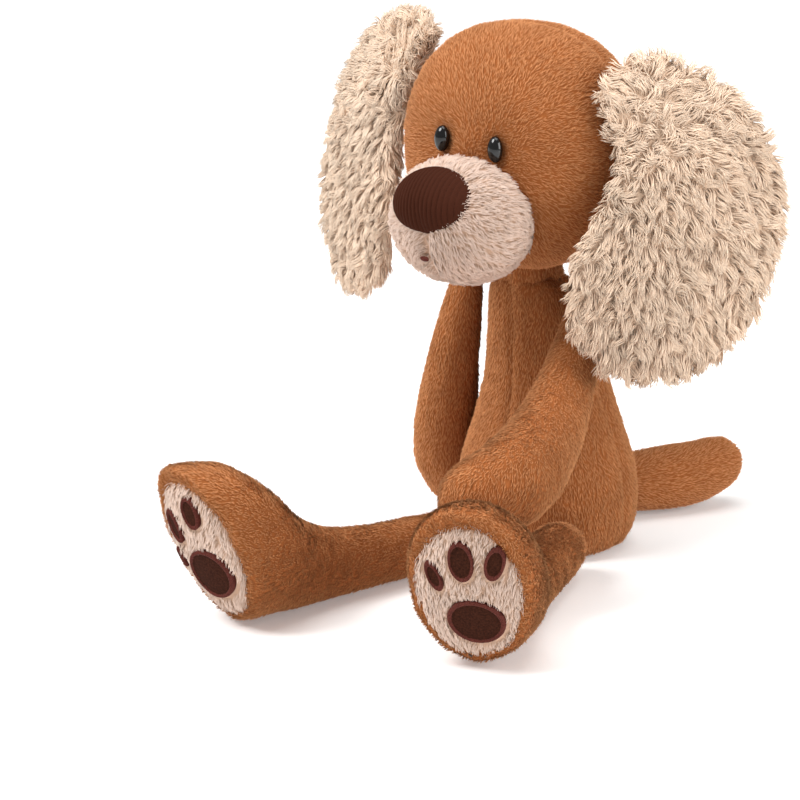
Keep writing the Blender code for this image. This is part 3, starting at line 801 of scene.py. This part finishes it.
class PLUSH_OT_muzzle(bpy.types.Operator):
    """Padded muzzle with long brushed pile that parts at the seam under the nose"""
    bl_idname = "plush.muzzle"
    bl_label = "Muzzle"

    def execute(self, context):
        piece = stuffed("muzzle", ["muzzle_cover"], "cream brushed pile", "head",
                        voxel=3.5 * MM, inset=1.8 * MM)
        middle, _, up, out = lie_of("nose", (0, -1, 0))
        nose = np.array(middle)
        points = coordinates(piece)
        below = np.clip(-(points - nose) @ np.array(up.normalized()) / (14 * MM), 0, 1)
        ahead = np.clip((points - nose) @ np.array(out) / (20 * MM) + 1.6, 0, 1)
        push(piece, -GROOVE_DEPTH * (np.exp(-(points[:, 0] / GROOVE_WIDTH) ** 2) * below * ahead))

        def brushed(roots):
            way = unit(roots - nose - np.array((0, 6 * MM, 0)))
            part = np.exp(-(roots[:, 0] / (5 * MM)) ** 2) * (roots[:, 2] < nose[2])
            way[:, 0] += np.sign(roots[:, 0]) * part * 1.2
            return way
        grown = grow_pile("muzzle_pile", piece, seed=14, length=MUZZLE_PILE, lean=52, nap=brushed, gather=0.2,
                          keep_out=tree_of(frame["nodes"]["nose"]), keep_out_gap=1.2 * MM, **CREAM_TUFTS)
        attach(grown, "head")
        return {"FINISHED"}


class PLUSH_OT_nose(bpy.types.Operator):
    """Padded nose of dark corduroy"""
    bl_idname = "plush.nose"
    bl_label = "Nose"

    def execute(self, context):
        trim = context.scene.plush_trim
        middle, across, up, out = lie_of("nose", (0, -1, 0.3))
        half = across.length
        lie = (middle + up.normalized() * NOSE_RISE - across.normalized() * NOSE_SHIFT, across, up, out)
        place = on_skin(lie, tree_of(bpy.data.objects["muzzle"]))

        def ridge(x, y):
            return np.abs(np.cos(pi * (x + 0.06 * y * y) * half / trim.wale)) ** 0.7

        def front(x, y):
            bulge = max(0.0, 1 - x * x - y * y)
            groove = trim.wale_depth * (1 - ridge(x, y)) * min(1, bulge * 6)
            return 0.4 * MM + trim.nose_loft * bulge ** 0.45 - groove
        piece = patch("nose_pad", place, NOSE_GRID, front, level(-0.6 * MM), "dark corduroy")
        # the front's points come first, and the back has no ridges
        front_ridges = ridge(*disc(NOSE_GRID)[:2]).ravel()
        ridges = np.zeros(len(piece.data.vertices), np.float32)
        ridges[:front_ridges.size] = front_ridges
        # the ridge attribute carries the painted light and shade of the wales into the material
        piece.data.attributes.new("ridge", "FLOAT", "POINT").data.foreach_set("value", ridges)
        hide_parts("nose")
        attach(piece, "head")
        return {"FINISHED"}


class PLUSH_OT_mouth(bpy.types.Operator):
    """Short stitched bar at the end of the seam under the nose"""
    bl_idname = "plush.mouth"
    bl_label = "Mouth"

    def execute(self, context):
        lie = lie_of("mouth_stitch", (0, -1, -0.5))
        place = on_skin(lie, tree_of(bpy.data.objects["muzzle"]))
        piece = patch("mouth", place, MOUTH_GRID, dome(1.3 * MM), level(-0.8 * MM), "satin stitch thread")
        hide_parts("mouth_stitch")
        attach(piece, "head")
        return {"FINISHED"}


class PLUSH_OT_eyes(bpy.types.Operator):
    """Two polished safety eyes"""
    bl_idname = "plush.eyes"
    bl_label = "Eyes"

    def execute(self, context):
        loft = context.scene.plush_trim.eye_loft
        for side in ("left", "right"):
            node = f"eye_{side}"
            middle, across, up, out = lie_of(node, (0, -1, 0))
            lie = (middle - out * EYE_SINK - up.normalized() * EYE_DROP[side], across * EYE_WIDTH,
                   up * EYE_HEIGHT, out)
            piece = patch(f"{node}_button", on_plane(lie), EYE_GRID, dome(loft), dome(-1.2 * MM),
                          "polished black ABS")
            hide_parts(node)
            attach(piece, "head")
        return {"FINISHED"}


class PLUSH_OT_ears(bpy.types.Operator):
    """Two floppy ears of curled sherpa fleece"""
    bl_idname = "plush.ears"
    bl_label = "Ears"

    def execute(self, context):
        cloth = context.scene.plush_cloth
        head = tree_of(bpy.data.objects["head"])
        for seed, side in ((21, "left"), (22, "right")):
            body = f"ear_{side}"
            layers = [f"{body}_outer", f"{body}_inner"]
            piece = outer_skin(body, layers, "curled sherpa fleece")
            even_cells(piece, 3.5 * MM, 6)
            push(piece, -0.8 * MM)
            subdivide(piece)
            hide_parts(*layers)
            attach(piece, body)
            low, high = (Vector(c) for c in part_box(layers[0]))
            whorl = np.array(Vector(joint_place(body)).lerp((low + high) / 2, 0.6))
            grown = grow_pile(f"{body}_locks", piece, "curled sherpa fleece", seed, cloth.lock_length,
                              0.8 * MM, cloth.lock_spacing / LOCK_FIBRES, 46,
                              lambda roots: unit(roots - whorl) * 0.8 + np.array((0, 0, -0.45)), steps=3,
                              lock=cloth.lock_spacing, gather=0.5, curl=0.8 * MM, keep_out=head,
                              keep_out_gap=1.5 * MM, wander=0.7, spread=0.6, softness=0.25)
            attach(grown, body)
        return {"FINISHED"}


class PLUSH_OT_arms(bpy.types.Operator):
    """Two long floppy arms"""
    bl_idname = "plush.arms"
    bl_label = "Arms"

    def execute(self, context):
        for seed, side in ((31, "left"), (32, "right")):
            body = f"arm_{side}"
            piece = stuffed(body, [f"{body}_cover"], "brown velboa pile", body,
                            inset=0.8 * MM)
            velboa(piece, body, seed, away_from(Vector(joint_place(body)) + Vector((0, 0, 30 * MM))))
        return {"FINISHED"}


class PLUSH_OT_tail(bpy.types.Operator):
    """Stuffed tail"""
    bl_idname = "plush.tail"
    bl_label = "Tail"

    def execute(self, context):
        piece = stuffed("tail_plush", ["tail_cover"], "brown velboa pile", "tail",
                        inset=0.2 * MM)
        velboa(piece, "tail", 41, along_line((0.3, 1, 0)))
        return {"FINISHED"}


class PLUSH_OT_legs(bpy.types.Operator):
    """Two legs with their feet"""
    bl_idname = "plush.legs"
    bl_label = "Legs"

    def execute(self, context):
        for seed, side in ((51, "left"), (52, "right")):
            body = f"leg_{side}"
            piece = stuffed(body, [f"{body}_cover"], "brown velboa pile", body)
            self.roll_rim(piece, lie_of(f"sole_{side}", (0, -1, 0)))
            velboa(piece, body, seed, away_from(joint_place(body)),
                   keep_out=tree_of(frame["nodes"][f"sole_{side}"]))
        return {"FINISHED"}

    def roll_rim(self, piece, lie):
        """Rolls the foot's edge forward round its sole, most of all over the toes."""
        middle, across, up, out = (np.array(v) for v in lie)
        points = coordinates(piece)
        spot = points - middle
        x, y = spot @ across / (across @ across), spot @ up / (up @ up)
        # the edge is a little outside the sole's outline, some millimetres deep, and high over the toes
        rim, rim_width, rim_depth = 1.02, 0.2, 8 * MM
        edge = np.exp(-((np.hypot(x, y) - rim) / rim_width) ** 2) * np.exp(-(spot @ out / rim_depth) ** 2)
        toes = np.clip(y, 0, 1) ** 2
        toward = (2.4 + 2.0 * toes) * MM * edge
        outward = (1.2 + 2.2 * toes) * MM * edge
        away = unit(across * x[:, None] / np.linalg.norm(across) + up * y[:, None] / np.linalg.norm(up))
        moved = points + out * toward[:, None] + away * outward[:, None]
        moved[:, 2] = np.maximum(moved[:, 2], 2 * FLOOR_CLEAR)
        move_points(piece, moved)


class PLUSH_OT_soles(bpy.types.Operator):
    """Domed soles with a large pad and three toes each, in velour edged with satin stitch"""
    bl_idname = "plush.soles"
    bl_label = "Soles"

    def execute(self, context):
        trim = context.scene.plush_trim
        for seed, side in ((61, "left"), (62, "right")):
            body = f"leg_{side}"
            middle, across, up, out = lie_of(f"sole_{side}", (0, -1, 0))
            place = on_plane((middle, across * SOLE_SHARE, up * SOLE_SHARE, out))
            sole = patch(f"sole_{side}_plush", place, SOLE_GRID,
                         lambda x, y: 1.4 * MM + dome(trim.sole_loft, 0.6)(x, y),
                         level(-1.5 * MM), "cream brushed pile")
            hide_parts(f"sole_{side}")
            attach(sole, body)
            skin = tree_of(sole)
            pads = [self.pad(f"{part}_{side}", skin, out, trim, body)
                    for part in ("pad", "toe_inner", "toe_middle", "toe_outer")]
            grown = grow_pile(f"sole_{side}_pile", sole, seed=seed, length=SOLE_PILE, lean=48,
                              nap=along_line((0, 0, -1)), gather=0.35, keep_out=tree_of(*pads),
                              keep_out_gap=1.3 * MM, **CREAM_TUFTS)
            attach(grown, body)
        return {"FINISHED"}

    def pad(self, node, skin, out, trim, body):
        """One embroidered pad: a short nap inside a rim of satin stitches that run across the edge."""
        middle, across, up, out = lie_of(node, out)
        middle = middle + Vector((PAD_SHIFT[node.rsplit("_", 1)[1]], 0, PAD_RISE))
        stitches = int(pi * (across.length + up.length) / trim.stitch)
        count, rim = (PAD_GRID, 1.7 * MM) if node.startswith("pad") else (TOE_GRID, 1.1 * MM)
        rim_share = 1 - rim / min(across.length, up.length)
        nap, satin, thread = 1.5, 0.9, 0.18   # heights in mm, and the thread's share of the satin's

        def front(x, y):
            r = (x * x + y * y) ** 0.5
            edge = max(0.0, 1 - abs(2 * (r - rim_share) / (1 - rim_share) - 1)) if r > rim_share else 0.0
            turn = np.arctan2(y, x)
            return (nap + satin * edge ** 0.5 * (1 + thread * sin(turn * stitches))) * MM
        place = on_skin((middle, across, up, out), skin)
        piece = patch(f"{node}_patch", place, count, front, level(-0.5 * MM), "dark velour")
        piece.data.materials.append(finish_of("satin stitch thread"))
        for face in piece.data.polygons:
            spot = face.center - middle
            reach = (spot.dot(across) / across.length_squared) ** 2 + (spot.dot(up) / up.length_squared) ** 2
            face.material_index = 1 if reach ** 0.5 > rim_share else 0
        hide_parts(node)
        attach(piece, body)
        return piece


class PLUSH_OT_filling(bpy.types.Operator):
    """Materials of the stuffing, the pellet bag and the eyes' washers"""
    bl_idname = "plush.filling"
    bl_label = "Filling"

    def execute(self, context):
        inside = {"stuffing": "polyester fibre", "wadding": "polyester fibre", "pellet": "pellet bag cotton",
                  "washer": "natural polypropylene"}
        for name, node in frame["nodes"].items():
            for word, finish in inside.items():
                if word in name:
                    node.data.materials.clear()
                    node.data.materials.append(finish_of(finish))
        return {"FINISHED"}


class PLUSH_OT_stage(bpy.types.Operator):
    """Pale floor, soft lights and the camera"""
    bl_idname = "plush.stage"
    bl_label = "Stage"

    def execute(self, context):
        scene = context.scene
        stage = scene.plush_stage
        scene.view_settings.view_transform = "Standard"
        world = bpy.data.worlds.new("white surround")
        world.use_nodes = True
        world.node_tree.nodes["Background"].inputs[0].default_value = (1, 1, 1, 1)
        world.node_tree.nodes["Background"].inputs[1].default_value = stage.sky
        scene.world = world
        self.floor()
        # kind, place, size in metres (a sun's is an angle), strength in watts (a sun's per square metre)
        lights = {"key": ("SUN", (-0.45, -0.8, 1.15), radians(32), 2.9),
                  "top": ("AREA", (0.15, 0.0, 1.5), 1.0, 10), "side": ("AREA", (1.3, 0.1, 0.6), 0.8, 10)}
        for name, (kind, place, size, strength) in lights.items():
            lamp = bpy.data.lights.new(name, kind)
            if kind == "SUN":
                lamp.angle = size
            else:
                lamp.size = size
            lamp.energy = strength * stage.light
            lit = bpy.data.objects.new(name, lamp)
            lit.location = place
            lit.rotation_euler = (Vector((0, -0.03, 0.1)) - Vector(place)).to_track_quat("-Z", "Y").to_euler()
            scene.collection.objects.link(lit)
        camera = bpy.data.cameras.new("camera")
        camera.lens = stage.lens
        camera.sensor_width = 36
        camera.clip_end = 50
        seen = bpy.data.objects.new("camera", camera)
        flat = cos(stage.elevation) * stage.distance
        seen.location = (sin(stage.azimuth) * flat, -cos(stage.azimuth) * flat,
                         sin(stage.elevation) * stage.distance)
        seen.rotation_euler = Euler((pi / 2 - stage.tip, 0, stage.heading))
        scene.collection.objects.link(seen)
        scene.camera = seen
        return {"FINISHED"}

    def floor(self):
        """A wide floor of white matt board."""
        mesh = bpy.data.meshes.new("floor")
        reach = 12
        mesh.from_pydata([(-reach, -reach, 0), (reach, -reach, 0), (reach, reach, 0), (-reach, reach, 0)], [],
                         [(0, 1, 2, 3)])
        board = finish_of("white matt board")
        shader = board.node_tree.nodes["Principled BSDF"]
        shader.inputs["Emission Color"].default_value = (1, 1, 1, 1)
        shader.inputs["Emission Strength"].default_value = bpy.context.scene.plush_stage.glow
        mesh.materials.append(board)
        floor = bpy.data.objects.new("floor", mesh)
        bpy.context.scene.collection.objects.link(floor)
        floor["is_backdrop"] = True


class PLUSH_PT_panel(bpy.types.Panel):
    """The dog's pieces and settings"""
    bl_idname = "PLUSH_PT_panel"
    bl_label = "Plush dog"
    bl_space_type = "VIEW_3D"
    bl_region_type = "UI"
    bl_category = "Plush dog"

    def draw(self, context):
        for group in (context.scene.plush_cloth, context.scene.plush_trim, context.scene.plush_stage):
            box = self.layout.box()
            for name in group.__annotations__:
                box.prop(group, name)
        for operator in OPERATORS:
            self.layout.operator(operator.bl_idname)


OPERATORS = (PLUSH_OT_body, PLUSH_OT_neck, PLUSH_OT_head, PLUSH_OT_muzzle, PLUSH_OT_nose, PLUSH_OT_mouth,
             PLUSH_OT_eyes, PLUSH_OT_ears, PLUSH_OT_arms, PLUSH_OT_tail, PLUSH_OT_legs, PLUSH_OT_soles,
             PLUSH_OT_filling, PLUSH_OT_stage)
GROUPS = {"plush_cloth": PlushCloth, "plush_trim": PlushTrim, "plush_stage": PlushStage}


def register():
    for group in GROUPS.values():
        bpy.utils.register_class(group)
    for name, group in GROUPS.items():
        setattr(bpy.types.Scene, name, PointerProperty(type=group))
    for made in (*OPERATORS, PLUSH_PT_panel):
        bpy.utils.register_class(made)


def unregister():
    for made in (PLUSH_PT_panel, *reversed(OPERATORS)):
        bpy.utils.unregister_class(made)
    for name, group in GROUPS.items():
        delattr(bpy.types.Scene, name)
        bpy.utils.unregister_class(group)


def main():
    """Builds every piece in turn and works out how large the frame and the finished model are."""
    register()
    for operator in OPERATORS:
        group, name = operator.bl_idname.split(".")
        getattr(getattr(bpy.ops, group), name)()
    boxes = {"cad": CAD_BOX, "visual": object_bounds()}
    {key: [list(corner) for corner in box] for key, box in boxes.items()}


if __name__ == "__main__":
    main()
